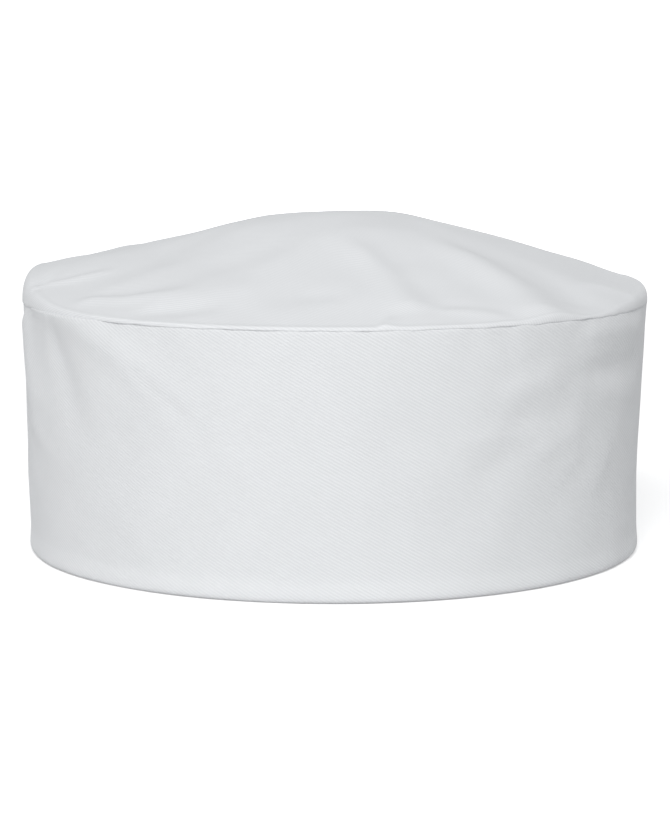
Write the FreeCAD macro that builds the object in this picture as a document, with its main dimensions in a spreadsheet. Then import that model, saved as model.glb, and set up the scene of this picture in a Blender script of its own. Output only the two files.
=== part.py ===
"""Flat-topped chef's cap: a stiffened twill side band under a domed round crown panel.

The cap stands on its hem, with the front at -Y and +Z up, and the origin is the middle of
the hem circle. At the back an arch is cut out of the band and closed by a hook-and-loop
strap. The strap is one strip of cloth in three lengths: a root sewn to the band, a bridge
across the arch, and a tip that sticks to the loop patch. All sizes are millimetres.
"""
import FreeCAD, Part
import math
import os
import Sketcher

os.makedirs("parts", exist_ok=True)
doc = FreeCAD.newDocument("ChefCap")

# ---------------------------------------------------------------- driving dimensions
DIMENSIONS = [
    ("hem_radius", 97.5, "outside of the band at the hem"),
    ("band_top_radius", 99.3, "outside of the band at the crown seam"),
    ("band_height", 79.0, "hem to crown seam"),
    ("cloth", 0.6, "thickness of the band and crown twill"),
    ("ply_gap", 0.1, "air between plies that lie on each other"),
    ("hem_turning", 6.5, "height of the band cloth turned up inside the hem"),
    ("turning_depth", 1.1, "band face to the turned-up cloth"),
    ("turning_cloth", 0.45, "thickness of the turned-up cloth"),
    ("stiffener_cloth", 0.3, "thickness of the interlining"),
    ("stiffener_clear", 1.0, "interlining edge to the hem and to the seam"),
    ("facing_depth", 1.65, "band face to the facing"),
    ("facing_cloth", 0.5, "thickness of the facing"),
    ("facing_lift", 0.8, "hem to the facing's lower edge"),
    ("crown_radius", 100.0, "widest part of the crown's rounded shoulder"),
    ("crown_top", 107.0, "hem to the top of the crown"),
    ("shoulder_round", 5.0, "radius of the crown's shoulder"),
    ("shoulder_height", 82.0, "height of the middle of the shoulder's arc"),
    ("apex_round", 130.0, "radius of the dome at the top of the crown"),
    ("seam_gap", 0.3, "band's top edge to the crown cloth"),
    ("allowance_radius", 96.9, "outside of the crown's turned-down seam allowance"),
    ("allowance_height", 8.3, "height of that allowance"),
    ("tape_cloth", 0.5, "thickness of the crown seam tape"),
    ("head_radius", 94.3, "inside of the sweatband"),
    ("sweat_bottom", 2.0, "hem to the sweatband's lower edge"),
    ("sweat_top", 36.0, "hem to the sweatband's upper edge"),
    ("sweat_row_depth", 0.7, "inside of the sweatband to the outside of its stitches"),
    ("sweat_depth", 2.3, "band face to the back of the sweatband"),
    ("sweat_half_gap", 42.5, "middle of the back to each end of the sweatband"),
    ("arch_half_width", 33.0, "half the width of the finished arch"),
    ("arch_spring", 10.0, "height at which the arch starts to curve"),
    ("arch_turning", 0.7, "finished arch edge to the cut edge of the plies"),
    ("binding_width", 8.0, "width of the arch binding on each face"),
    ("binding_cloth", 0.45, "thickness of the binding"),
    ("binding_lift", 0.6, "hem to the binding's lower ends"),
    ("strap_bottom", 2.5, "hem to the strap's lower edge"),
    ("strap_top", 26.5, "hem to the strap's upper edge"),
    ("strap_radius", 99.4, "inside of the strap"),
    ("strap_cloth", 0.6, "thickness of the strap"),
    ("strap_corner", 7.0, "rounding of the tip's free corners"),
    ("fold_angle", 25.1, "middle of the back to each fold line, degrees"),
    ("fold_gap", 0.2, "half the gap at a fold line, degrees"),
    ("root_sweep", 16.0, "length of the sewn root, degrees"),
    ("tip_sweep", 27.0, "length of the tip, degrees"),
    ("tape_bottom", 4.5, "hem to the lower edge of the hook-and-loop tape"),
    ("tape_width", 20.0, "stock width of the hook-and-loop tape"),
    ("hook_radius", 98.9, "inside of the hook patch"),
    ("hook_cloth", 0.4, "thickness of the hook patch"),
    ("hook_sweep", 22.0, "length of the hook patch, degrees"),
    ("tape_inset", 2.2, "fold line to the start of each tape patch, degrees"),
    ("loop_radius", 98.6, "outside of the loop patch"),
    ("loop_sweep", 36.0, "length of the loop patch, degrees"),
    ("thread", 0.35, "width of a row of stitches"),
    ("thread_proud", 0.12, "thickness of a row of stitches"),
    ("stitch_inset", 1.6, "edge of a piece to its row of stitches"),
    ("label_bottom", 38.0, "hem to the label's lower edge"),
    ("label_top", 66.0, "hem to the label's upper edge"),
    ("label_sweep", 15.0, "width of the label, degrees"),
    ("label_cloth", 0.2, "thickness of the label"),
    ("label_angle", 145.0, "side of the label, degrees from +X"),
    ("bartack_height", 2.0, "height of a bartack"),
    ("bartack_sweep", 4.0, "width of a bartack, degrees"),
    ("bartack_lift", 1.0, "lower end of the binding to its bartack"),
    ("row_inset", 1.0, "edge of a hook-and-loop patch to its row of stitches"),
    ("row_turn", 1.0, "end of a patch or label to its row of stitches, degrees"),
    ("cut_past", 1.0, "how far a cut runs past the cloth's edge"),
    ("arch_reach", 10.0, "how far the arch prism runs past the wall on each side"),
]

sheet = doc.addObject("Spreadsheet::Sheet", "Sizes")
for row, (alias, number, meaning) in enumerate(DIMENSIONS, start=1):
    sheet.set(f"A{row}", meaning)
    sheet.set(f"B{row}", str(number))
    sheet.setAlias(f"B{row}", alias)
doc.recompute()


class Size:
    """A size held twice: as a number for a first sketch, and as the expression bound to it."""

    def __init__(self, number, text=None):
        self.number = float(number)
        self.text = text or str(number)

    def joined(self, other, sign, number):
        return Size(number, f"({self.text} {sign} {size_of(other).text})")

    def __add__(self, other):
        return self.joined(other, "+", self.number + size_of(other).number)

    def __sub__(self, other):
        return self.joined(other, "-", self.number - size_of(other).number)

    def __mul__(self, other):
        return self.joined(other, "*", self.number * size_of(other).number)

    def __truediv__(self, other):
        return self.joined(other, "/", self.number / size_of(other).number)


def size_of(value):
    return value if isinstance(value, Size) else Size(value)


class Sizes:
    """The spreadsheet's cells as Size values, by alias."""

    def __getattr__(self, alias):
        return Size(sheet.get(alias), f"Sizes.{alias}")


d = Sizes()
ZERO = Size(0)
TOLERANCE = 0.01
FULL_TURN = Size(360)
BACK = Size(90)


def band_face(height, depth):
    """Radius at a height, a given depth inside the band's outer face."""
    flare = (d.band_top_radius - d.hem_radius) / d.band_height
    return d.hem_radius + flare * height - depth


def bind(target, prop, size):
    target.setExpression(prop, size_of(size).text)


# ---------------------------------------------------------------- sketches
def origin_plane(body, role):
    return next(f for f in body.Origin.OriginFeatures if f.Role == role)


def new_sketch(body, role, name):
    sketch = body.newObject("Sketcher::SketchObject", name)
    sketch.AttachmentSupport = [(origin_plane(body, role), "")]
    sketch.MapMode = "FlatFace"
    return sketch


def place_point(sketch, geometry, end, across, up):
    """Fix one point of a sketch by its two coordinates, each bound to the spreadsheet."""
    for kind, size, axis in (("DistanceX", across, -2), ("DistanceY", up, -1)):
        if size.number == 0:
            sketch.addConstraint(Sketcher.Constraint("PointOnObject", geometry, end, axis))
            continue
        index = sketch.addConstraint(
            Sketcher.Constraint(kind, -1, 1, geometry, end, size.number)
        )
        bind(sketch, f"Constraints[{index}]", size)


def set_radius(sketch, geometry, size):
    index = sketch.addConstraint(Sketcher.Constraint("Radius", geometry, size.number))
    bind(sketch, f"Constraints[{index}]", size)


def vector(across, up):
    return FreeCAD.Vector(size_of(across).number, size_of(up).number, 0)


def polygon(sketch, corners):
    """Closed polygon whose corners are pairs of sizes."""
    for index, corner in enumerate(corners):
        following = corners[(index + 1) % len(corners)]
        sketch.addGeometry(Part.LineSegment(vector(*corner), vector(*following)))
    for index, corner in enumerate(corners):
        place_point(sketch, index, 1, *corner)
        following = (index + 1) % len(corners)
        sketch.addConstraint(Sketcher.Constraint("Coincident", index, 2, following, 1))


def arch_outline(sketch, half_width, bottom):
    """Upright arch: two straight sides and a half circle over them."""
    spring = d.arch_spring
    left = ZERO - half_width
    sketch.addGeometry(Part.LineSegment(vector(left, bottom), vector(half_width, bottom)))
    sketch.addGeometry(Part.LineSegment(vector(half_width, bottom), vector(half_width, spring)))
    circle = Part.Circle(
        FreeCAD.Vector(0, spring.number, 0), FreeCAD.Vector(0, 0, 1), half_width.number
    )
    sketch.addGeometry(Part.ArcOfCircle(circle, 0, math.pi))
    sketch.addGeometry(Part.LineSegment(vector(left, spring), vector(left, bottom)))
    for edge, end, following, start in ((0, 2, 1, 1), (1, 2, 2, 1), (2, 2, 3, 1), (3, 2, 0, 1)):
        sketch.addConstraint(Sketcher.Constraint("Coincident", edge, end, following, start))
    place_point(sketch, 2, 3, ZERO, spring)
    place_point(sketch, 0, 1, left, bottom)
    place_point(sketch, 0, 2, half_width, bottom)
    sketch.addConstraint(Sketcher.Constraint("Vertical", 1))
    sketch.addConstraint(Sketcher.Constraint("Vertical", 3))
    sketch.addConstraint(Sketcher.Constraint("PointOnObject", 2, 1, 1))
    set_radius(sketch, 2, half_width)


# ---------------------------------------------------------------- bodies
sub_parts = []


def new_body(label):
    body = doc.addObject("PartDesign::Body", label)
    body.Label = label
    sub_parts.append(body)
    return body


def turn_about_z(item, start_angle, lift=None):
    """Place a piece by its start angle about Z and, if given, its height."""
    item.Placement = FreeCAD.Placement(FreeCAD.Vector(), FreeCAD.Rotation(FreeCAD.Vector(0, 0, 1), 1))
    bind(item, "Placement.Rotation.Angle", start_angle)
    if lift is not None:
        bind(item, "Placement.Base.z", lift)


def revolve(body, sketch, sweep=FULL_TURN):
    feature = body.newObject("PartDesign::Revolution", "Revolution")
    feature.Profile = sketch
    feature.ReferenceAxis = (sketch, ["V_Axis"])
    bind(feature, "Angle", sweep)
    doc.recompute()
    return feature


def ring(label, corners, sweep=FULL_TURN, start_angle=None):
    """A piece turned about Z from a closed section in the XZ plane."""
    body = new_body(label)
    sketch = new_sketch(body, "XZ_Plane", "Section")
    polygon(sketch, corners)
    revolve(body, sketch, sweep)
    if start_angle is not None:
        turn_about_z(body, start_angle)
    return body


def ply(label, depth, thickness, bottom, top, sweep=FULL_TURN, start_angle=None):
    """A layer that follows the band's slope between two heights."""
    corners = [
        (band_face(bottom, depth), bottom),
        (band_face(top, depth), top),
        (band_face(top, depth + thickness), top),
        (band_face(bottom, depth + thickness), bottom),
    ]
    return ring(label, corners, sweep, start_angle)


def cut_towards_back(body, sketch):
    """Cut a sketch's outline through the back half only, and prove that it cut there."""
    whole = body.Shape.Volume
    front = body.Shape.BoundBox.YMin
    pocket = body.newObject("PartDesign::Pocket", "ArchCut")
    pocket.Profile = sketch
    pocket.Type = "ThroughAll"
    pocket.Reversed = False
    doc.recompute()
    if pocket.Shape.Volume >= whole or abs(pocket.Shape.BoundBox.YMin - front) > TOLERANCE:
        raise RuntimeError(f"{body.Label}: the arch was not cut out of the back")


def cut_arch(body, half_width):
    sketch = new_sketch(body, "XZ_Plane", "ArchOutline")
    arch_outline(sketch, half_width, ZERO - d.cut_past)
    cut_towards_back(body, sketch)


def cut_back_gap(body, half_width, bottom, top):
    sketch = new_sketch(body, "XZ_Plane", "BackGap")
    left = ZERO - half_width
    polygon(sketch, [(left, bottom), (half_width, bottom), (half_width, top), (left, top)])
    cut_towards_back(body, sketch)


# ---------------------------------------------------------------- the cap's cloth
cut_edge = d.arch_half_width + d.arch_turning


def make_side_band():
    """Outer ply of the band, turned up inside at the hem."""
    turning_back = d.turning_depth + d.turning_cloth
    corners = [
        (d.hem_radius, ZERO),
        (d.band_top_radius, d.band_height),
        (d.band_top_radius - d.cloth, d.band_height),
        (band_face(d.cloth, d.cloth), d.cloth),
        (band_face(d.cloth, d.turning_depth), d.cloth),
        (band_face(d.hem_turning, d.turning_depth), d.hem_turning),
        (band_face(d.hem_turning, turning_back), d.hem_turning),
        (d.hem_radius - turning_back, ZERO),
    ]
    cut_arch(ring("side_band", corners), cut_edge)


def make_inner_plies():
    """Interlining that stiffens the band, and the facing that lines it."""
    interlining = ply(
        "band_interlining", d.cloth + d.ply_gap, d.stiffener_cloth,
        d.stiffener_clear, d.band_height - d.stiffener_clear,
    )
    cut_arch(interlining, cut_edge)
    facing = ply(
        "band_facing", d.facing_depth, d.facing_cloth, d.facing_lift, d.band_height,
    )
    cut_arch(facing, cut_edge)


def crown_arc(sketch, centre, radius, start, end):
    circle = Part.Circle(FreeCAD.Vector(*centre, 0), FreeCAD.Vector(0, 0, 1), radius)
    return sketch.addGeometry(Part.ArcOfCircle(circle, start, end))


def crown_skin(sketch, apex_radius, shoulder_radius, foot_height):
    """One face of the crown cloth: apex arc, straight slope and shoulder arc, all tangent.

    Returns the shoulder arc and the apex arc, which start at the foot and at the slope.
    """
    apex_middle = d.crown_top - d.apex_round
    shoulder_across = d.crown_radius - d.shoulder_round
    across = shoulder_across.number
    up = d.shoulder_height.number - apex_middle.number
    spread = apex_radius.number - shoulder_radius.number
    lean = math.atan2(up, across) + math.acos(spread / math.hypot(across, up))
    foot = math.asin((foot_height.number - d.shoulder_height.number) / shoulder_radius.number)

    shoulder = crown_arc(
        sketch, (across, d.shoulder_height.number), shoulder_radius.number, foot, lean
    )
    apex = crown_arc(sketch, (0, apex_middle.number), apex_radius.number, lean, math.pi / 2)
    ends = [sketch.getPoint(shoulder, 2), sketch.getPoint(apex, 1)]
    slope = sketch.addGeometry(Part.LineSegment(*ends))
    place_point(sketch, shoulder, 3, shoulder_across, d.shoulder_height)
    set_radius(sketch, shoulder, shoulder_radius)
    place_point(sketch, apex, 3, ZERO, apex_middle)
    set_radius(sketch, apex, apex_radius)
    sketch.addConstraint(Sketcher.Constraint("Tangent", slope, 1, shoulder, 2))
    sketch.addConstraint(Sketcher.Constraint("Tangent", slope, 2, apex, 1))
    sketch.addConstraint(Sketcher.Constraint("PointOnObject", apex, 2, -2))
    index = sketch.addConstraint(
        Sketcher.Constraint("DistanceY", -1, 1, shoulder, 1, foot_height.number)
    )
    bind(sketch, f"Constraints[{index}]", foot_height)
    return shoulder, apex


def make_crown():
    """Round crown panel, tented into a low dome, with its seam allowance turned down inside."""
    body = new_body("crown_panel")
    sketch = new_sketch(body, "XZ_Plane", "Section")
    foot = d.band_height + d.seam_gap
    inner_foot = foot + d.cloth
    outer_shoulder, outer_apex = crown_skin(sketch, d.apex_round, d.shoulder_round, foot)
    inner_shoulder, inner_apex = crown_skin(
        sketch, d.apex_round - d.cloth, d.shoulder_round - d.cloth, inner_foot
    )
    allowance_inside = d.allowance_radius - d.cloth
    corners = [
        (d.allowance_radius, foot),
        (d.allowance_radius, foot - d.allowance_height),
        (allowance_inside, foot - d.allowance_height),
        (allowance_inside, inner_foot),
    ]
    points = [sketch.getPoint(outer_shoulder, 1)]
    points += [vector(*corner) for corner in corners]
    points += [sketch.getPoint(inner_shoulder, 1)]
    first = sketch.GeometryCount
    for start, end in zip(points, points[1:]):
        sketch.addGeometry(Part.LineSegment(start, end))
    last = sketch.GeometryCount - 1
    for line, corner in zip(range(first, last), corners):
        place_point(sketch, line, 2, *corner)
        sketch.addConstraint(Sketcher.Constraint("Coincident", line, 2, line + 1, 1))
    sketch.addConstraint(Sketcher.Constraint("Coincident", first, 1, outer_shoulder, 1))
    sketch.addConstraint(Sketcher.Constraint("Coincident", last, 2, inner_shoulder, 1))
    centre_line = sketch.addGeometry(
        Part.LineSegment(sketch.getPoint(outer_apex, 2), sketch.getPoint(inner_apex, 2))
    )
    sketch.addConstraint(Sketcher.Constraint("Coincident", centre_line, 1, outer_apex, 2))
    sketch.addConstraint(Sketcher.Constraint("Coincident", centre_line, 2, inner_apex, 2))
    revolve(body, sketch)


def make_crown_tape():
    """Tape that wraps the raw edges of the crown seam inside the cap, and its stitches."""
    face = d.allowance_radius - d.cloth - d.ply_gap
    foot = d.band_height + d.seam_gap
    raw_edge = foot - d.allowance_height - d.ply_gap
    corners = [
        (face, foot),
        (face, raw_edge),
        (d.allowance_radius, raw_edge),
        (d.allowance_radius, raw_edge - d.tape_cloth),
        (face - d.tape_cloth, raw_edge - d.tape_cloth),
        (face - d.tape_cloth, foot),
    ]
    ring("crown_seam_tape", corners)
    row_outside = face - d.tape_cloth - d.ply_gap / 2
    stitch_ring("crown_tape_stitching", row_outside, raw_edge + d.stitch_inset)


def stitch_ring(label, outside, height):
    """A row of stitches round the inside of the cap."""
    inside = outside - d.thread_proud
    corners = [
        (outside, height),
        (outside, height + d.thread),
        (inside, height + d.thread),
        (inside, height),
    ]
    return ring(label, corners)


def make_sweatband():
    """Sweatband with a true round inside, its overlocked upper edge and its lower stitches."""
    corners = [
        (band_face(d.sweat_bottom, d.sweat_depth), d.sweat_bottom),
        (band_face(d.sweat_top, d.sweat_depth), d.sweat_top),
        (d.head_radius, d.sweat_top),
        (d.head_radius, d.sweat_bottom),
    ]
    outside = d.head_radius + d.sweat_row_depth
    upper_row = d.sweat_top + d.ply_gap / 2
    lower_row = d.sweat_bottom - d.ply_gap / 2 - d.thread
    pieces = [
        ring("sweatband", corners),
        stitch_ring("sweatband_overlock", outside, upper_row),
        stitch_ring("sweatband_stitching", outside, lower_row),
    ]
    for piece in pieces:
        cut_back_gap(piece, d.sweat_half_gap, ZERO - d.cut_past, d.sweat_top + d.cut_past)


def make_label():
    """Blank care label sewn flat to the facing by its upper edge, and its stitches."""
    start = d.label_angle - d.label_sweep / 2
    depth = d.facing_depth + d.facing_cloth + d.ply_gap
    ply("care_label", depth, d.label_cloth, d.label_bottom, d.label_top, d.label_sweep, start)
    row_bottom = d.label_top - d.stitch_inset
    ply(
        "care_label_stitching", depth + d.label_cloth + d.ply_gap / 2, d.thread_proud,
        row_bottom, row_bottom + d.thread, d.label_sweep - d.row_turn * 2, start + d.row_turn,
    )


# ---------------------------------------------------------------- the arch at the back
def arch_prism(name, half_width, bottom):
    """Solid arch that runs out through the back of the band."""
    start = d.head_radius - d.arch_reach
    sketch = doc.addObject("Sketcher::SketchObject", name + "Outline")
    sketch.Placement = FreeCAD.Placement(
        FreeCAD.Vector(), FreeCAD.Rotation(FreeCAD.Vector(1, 0, 0), 90)
    )
    bind(sketch, "Placement.Base.y", start)
    arch_outline(sketch, half_width, bottom)
    prism = doc.addObject("Part::Extrusion", name)
    prism.Base = sketch
    prism.DirMode = "Custom"
    prism.Dir = FreeCAD.Vector(0, 1, 0)
    prism.Solid = True
    bind(prism, "LengthFwd", d.crown_radius + d.arch_reach - start)
    return prism


def cone_wall(name, outer_depth, inner_depth):
    """Hollow cone wall parallel to the band, over its whole height."""
    cones = []
    for side, depth in (("Outer", outer_depth), ("Inner", inner_depth)):
        cone = doc.addObject("Part::Cone", name + side)
        bind(cone, "Radius1", band_face(ZERO, depth))
        bind(cone, "Radius2", band_face(d.band_height, depth))
        bind(cone, "Height", d.band_height)
        cones.append(cone)
    return combine("Part::Cut", name, *cones)


def combine(kind, name, base, tool):
    result = doc.addObject(kind, name)
    result.Base = base
    result.Tool = tool
    return result


def make_binding():
    """Folded tape round the arch: a leg on each face and a web over the cut edges."""
    wrap = d.ply_gap + d.binding_cloth
    plies = d.facing_depth + d.facing_cloth
    full_wall = cone_wall("BindingWall", ZERO - wrap, plies + wrap)
    core_wall = cone_wall("BindingCore", ZERO - d.ply_gap, plies + d.ply_gap)
    outside = arch_prism("BindingOutside", d.arch_half_width + d.binding_width, d.binding_lift)
    opening = arch_prism("BindingOpening", d.arch_half_width, ZERO)
    inside_edge = arch_prism("BindingEdge", cut_edge - d.ply_gap, ZERO)
    hoop = combine("Part::Cut", "BindingHoop", outside, opening)
    block = combine("Part::Common", "BindingBlock", full_wall, hoop)
    core = combine("Part::Cut", "BindingHollow", core_wall, inside_edge)
    binding = combine("Part::Cut", "ArchBinding", block, core)
    binding.Label = "arch_binding"
    sub_parts.append(binding)


def make_binding_stitching():
    """Row of stitches along the outer leg of the binding."""
    face = ZERO - d.ply_gap * 1.5 - d.binding_cloth
    wall = cone_wall("BindingThreadWall", face - d.thread_proud, face)
    row = d.arch_half_width + d.binding_width - d.stitch_inset
    outside = arch_prism("BindingThreadOutside", row, d.binding_lift)
    inside = arch_prism("BindingThreadInside", row - d.thread, ZERO)
    hoop = combine("Part::Cut", "BindingThreadHoop", outside, inside)
    stitching = combine("Part::Common", "ArchBindingStitching", wall, hoop)
    stitching.Label = "arch_binding_stitching"
    sub_parts.append(stitching)


# ---------------------------------------------------------------- the strap
root_start = BACK + d.fold_angle + d.fold_gap
bridge_start = BACK - d.fold_angle + d.fold_gap
bridge_sweep = (d.fold_angle - d.fold_gap) * 2
tip_start = BACK - d.fold_angle - d.fold_gap - d.tip_sweep
hook_end = BACK - d.fold_angle - d.tape_inset
strap_face = d.strap_radius + d.strap_cloth


def band(label, inside, outside, bottom, top, start_angle, sweep):
    """A strip of cloth bent to an upright cylinder."""
    corners = [(outside, bottom), (outside, top), (inside, top), (inside, bottom)]
    return ring(label, corners, sweep, start_angle)


def sewn_patch(label, outside, bottom, top, start_angle, sweep):
    """A strip that lies on the sloping band and is upright outside."""
    lie = ZERO - d.ply_gap
    corners = [
        (outside, bottom),
        (outside, top),
        (band_face(top, lie), top),
        (band_face(bottom, lie), bottom),
    ]
    return ring(label, corners, sweep, start_angle)


def sector(name, radius, bottom, top, start_angle, sweep):
    cylinder = doc.addObject("Part::Cylinder", name)
    bind(cylinder, "Radius", radius)
    bind(cylinder, "Height", top - bottom)
    bind(cylinder, "Angle", sweep)
    turn_about_z(cylinder, start_angle, bottom)
    return cylinder


def stitch_frame(label, inside, bottom, top, start_angle, sweep):
    """A closed rectangle of stitches on an upright curved face."""
    margin = d.thread / strap_face * (180 / math.pi)
    outside = inside + d.thread_proud
    plate = sector(label + "_plate", outside, bottom, top, start_angle, sweep)
    window = sector(
        label + "_window", outside + d.cut_past, bottom + d.thread, top - d.thread,
        start_angle + margin, sweep - margin * 2,
    )
    core = sector(
        label + "_core", inside, bottom - d.cut_past, top + d.cut_past,
        start_angle - margin, sweep + margin * 2,
    )
    frame = combine("Part::Cut", label + "_frame", plate, window)
    stitching = combine("Part::Cut", label, frame, core)
    stitching.Label = label
    sub_parts.append(stitching)


def round_tip(body):
    """Round the two corners at the strap's free end, which lies in the XZ plane."""
    strip = body.Tip
    corners = []
    for index, edge in enumerate(strip.Shape.Edges, start=1):
        box = edge.BoundBox
        if max(box.YLength, box.YMax, box.ZLength) < TOLERANCE:
            corners.append(f"Edge{index}")
    fillet = body.newObject("PartDesign::Fillet", "TipCorners")
    fillet.Base = (strip, corners)
    bind(fillet, "Radius", d.strap_corner)
    doc.recompute()
    if len(corners) != 2:
        raise RuntimeError("the strap's free end should have two corners")


def make_strap():
    """Root sewn to the band, bridge across the arch, and tip with the hook patch."""
    sewn_patch(
        "strap_root", strap_face, d.strap_bottom, d.strap_top, root_start, d.root_sweep
    )
    span = (d.strap_radius, strap_face, d.strap_bottom, d.strap_top)
    band("strap_bridge", *span, bridge_start, bridge_sweep)
    tip = band("strap_tip", *span, None, d.tip_sweep)
    round_tip(tip)
    turn_about_z(tip, tip_start)


def make_tapes():
    """Hook patch under the tip and the longer loop patch on the band."""
    top = d.tape_bottom + d.tape_width
    band(
        "hook_patch", d.hook_radius, d.hook_radius + d.hook_cloth, d.tape_bottom, top,
        hook_end - d.hook_sweep, d.hook_sweep,
    )
    sewn_patch(
        "loop_patch", d.loop_radius, d.tape_bottom, top,
        hook_end - d.loop_sweep, d.loop_sweep,
    )


def make_strap_stitching():
    """Stitched rectangles on the root and tip, and round the loop patch."""
    both_turns = d.row_turn * 2
    proud = strap_face + d.ply_gap / 2
    stitch_frame(
        "strap_root_stitching", proud,
        d.strap_bottom + d.stitch_inset, d.strap_top - d.stitch_inset,
        root_start + d.row_turn, d.root_sweep - both_turns,
    )
    low = d.tape_bottom + d.row_inset
    high = d.tape_bottom + d.tape_width - d.row_inset
    stitch_frame(
        "strap_tip_stitching", proud, low, high,
        hook_end - d.hook_sweep + d.row_turn, d.hook_sweep - both_turns,
    )
    stitch_frame(
        "loop_patch_stitching", d.loop_radius + d.ply_gap / 2, low, high,
        hook_end - d.loop_sweep + d.row_turn, d.loop_sweep - both_turns,
    )


def make_bartacks():
    """Dense stitched bars that lock the feet of the arch binding."""
    over_stitching = d.binding_cloth + d.ply_gap * 2 + d.thread_proud * 1.5
    face = band_face(d.strap_bottom, ZERO - over_stitching)
    middle = (d.arch_half_width + d.binding_width / 2) / d.hem_radius * (180 / math.pi)
    bottom = d.binding_lift + d.bartack_lift
    for side, centre in (("left", BACK + middle), ("right", BACK - middle)):
        band(
            f"{side}_bartack", face, face + d.thread_proud * 2, bottom,
            bottom + d.bartack_height, centre - d.bartack_sweep / 2, d.bartack_sweep,
        )


# ---------------------------------------------------------------- build, check and write
make_crown()
make_side_band()
make_inner_plies()
make_crown_tape()
make_sweatband()
make_label()
make_binding()
make_binding_stitching()
make_strap()
make_tapes()
make_strap_stitching()
make_bartacks()

doc.recompute()
for item in doc.Objects:
    if "Invalid" in item.State or "Error" in item.State:
        raise RuntimeError(f"{item.Label} failed: {item.State}")
for part in sub_parts:
    if part.Shape.isNull() or not part.Shape.isValid():
        raise RuntimeError(f"{part.Label} has no valid shape")
    part.Shape.exportStep(f"parts/{part.Label}.step")
    print(f"{part.Label}: {len(part.Shape.Solids)} solid, {part.Shape.Volume / 1000:.2f} cm3")
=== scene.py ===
"""Looks of the flat-topped chef's cap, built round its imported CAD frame.

Lengths are in millimetres until a mesh is made, and the studio is in metres.
Angles are in degrees from +X, so the front is at -90.
"""

import math

import bpy
import numpy as np
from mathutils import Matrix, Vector


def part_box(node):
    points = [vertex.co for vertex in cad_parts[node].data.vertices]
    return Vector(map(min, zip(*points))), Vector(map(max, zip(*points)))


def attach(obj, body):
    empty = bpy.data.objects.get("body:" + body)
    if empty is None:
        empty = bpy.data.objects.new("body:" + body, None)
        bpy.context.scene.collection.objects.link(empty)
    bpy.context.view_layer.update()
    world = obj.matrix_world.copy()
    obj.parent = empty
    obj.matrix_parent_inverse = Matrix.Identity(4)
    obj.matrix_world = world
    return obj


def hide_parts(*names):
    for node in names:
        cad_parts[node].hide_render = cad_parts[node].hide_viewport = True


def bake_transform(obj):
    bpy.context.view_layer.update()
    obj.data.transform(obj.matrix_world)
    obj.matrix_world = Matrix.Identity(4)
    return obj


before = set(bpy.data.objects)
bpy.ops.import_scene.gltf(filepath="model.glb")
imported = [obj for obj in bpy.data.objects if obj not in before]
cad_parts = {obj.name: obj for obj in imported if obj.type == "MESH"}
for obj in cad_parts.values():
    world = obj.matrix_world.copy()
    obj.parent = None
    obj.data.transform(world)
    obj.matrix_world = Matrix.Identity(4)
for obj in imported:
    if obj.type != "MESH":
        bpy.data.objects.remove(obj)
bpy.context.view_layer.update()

M = 0.001
FRONT, BACK = -90.0, 90.0


# ---- sizes from the frame
def box(node):
    return [np.array(corner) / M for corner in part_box(node)]


def heights_of(node):
    low, high = box(node)
    return low[2], high[2]


def vertices_of(node):
    return np.array([v.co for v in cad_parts[node].data.vertices]) / M


def direction(x, y):
    return np.degrees(np.arctan2(y, x))


def angles_of(node):
    """Lowest and highest angle that a CAD node at the back of the cap reaches."""
    points = vertices_of(node)
    turned = direction(points[:, 0], points[:, 1])
    return float(turned.min()), float(turned.max())


def ring_radius(node, bottom, top, pick):
    """Outermost or innermost radius of a CAD node between two heights."""
    points = vertices_of(node)
    near = points[(points[:, 2] >= bottom) & (points[:, 2] <= top)]
    return float(pick(np.hypot(near[:, 0], near[:, 1])))


BAND_HEIGHT = box("side_band")[1][2]
HEM_RADIUS = ring_radius("side_band", -1, 0.05, max)
TOP_RADIUS = ring_radius("side_band", BAND_HEIGHT - 0.05, BAND_HEIGHT + 1, max)
CROWN_TOP = box("crown_panel")[1][2]
FACING_DEPTH = TOP_RADIUS - ring_radius("band_facing", BAND_HEIGHT - 0.05, BAND_HEIGHT + 1, min)

# the arch: height of its straight feet, half its width, its binding and the stitches on that
ARCH_SPRING = 10.0
BINDING_WIDTH = 8.0
BINDING_STITCH = 6.4
ARCH_HALF = box("arch_binding")[1][0] - BINDING_WIDTH
# x of the sweatband's ends, to either side of the arch
SWEAT_END_X = 42.5

STRAP_LOW, STRAP_HIGH = heights_of("strap_bridge")
STRAP_OUT = ring_radius("strap_bridge", STRAP_LOW - 1, STRAP_HIGH + 1, max)
STRAP_IN = ring_radius("strap_bridge", STRAP_LOW - 1, STRAP_HIGH + 1, min)
STRAP_MIDDLE = (STRAP_IN + STRAP_OUT) / 2
# half its thickness, millimetres along it per degree, radius of its tip's corners, and the
# angle over which it comes down on the band
STRAP_HALF = 0.36
STRAP_DEGREE = math.radians(1) * STRAP_MIDDLE
STRAP_CORNER = 7.0
SETTLE_ANGLE = 4.0
ROOT_NEAR, ROOT_FAR = angles_of("strap_root")
TIP_FAR, TIP_NEAR = angles_of("strap_tip")


# ---- small tools
def smooth(x):
    x = np.clip(x, 0, 1)
    return x * x * (3 - 2 * x)


def hump(distance, width):
    return np.exp(-((distance / width) ** 2))


def ripple(a, b, waves, size, seed):
    """Smooth seeded unevenness over two coordinates, about size high."""
    rng = np.random.default_rng(seed)
    total = np.zeros(np.broadcast(a, b).shape)
    for wave in waves:
        for _ in range(3):
            turn, phase = rng.uniform(0, math.tau, 2)
            total = total + np.sin(
                (a * math.cos(turn) + b * math.sin(turn)) * math.tau / wave + phase
            )
    return total * size / (len(waves) * 1.7)


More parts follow.
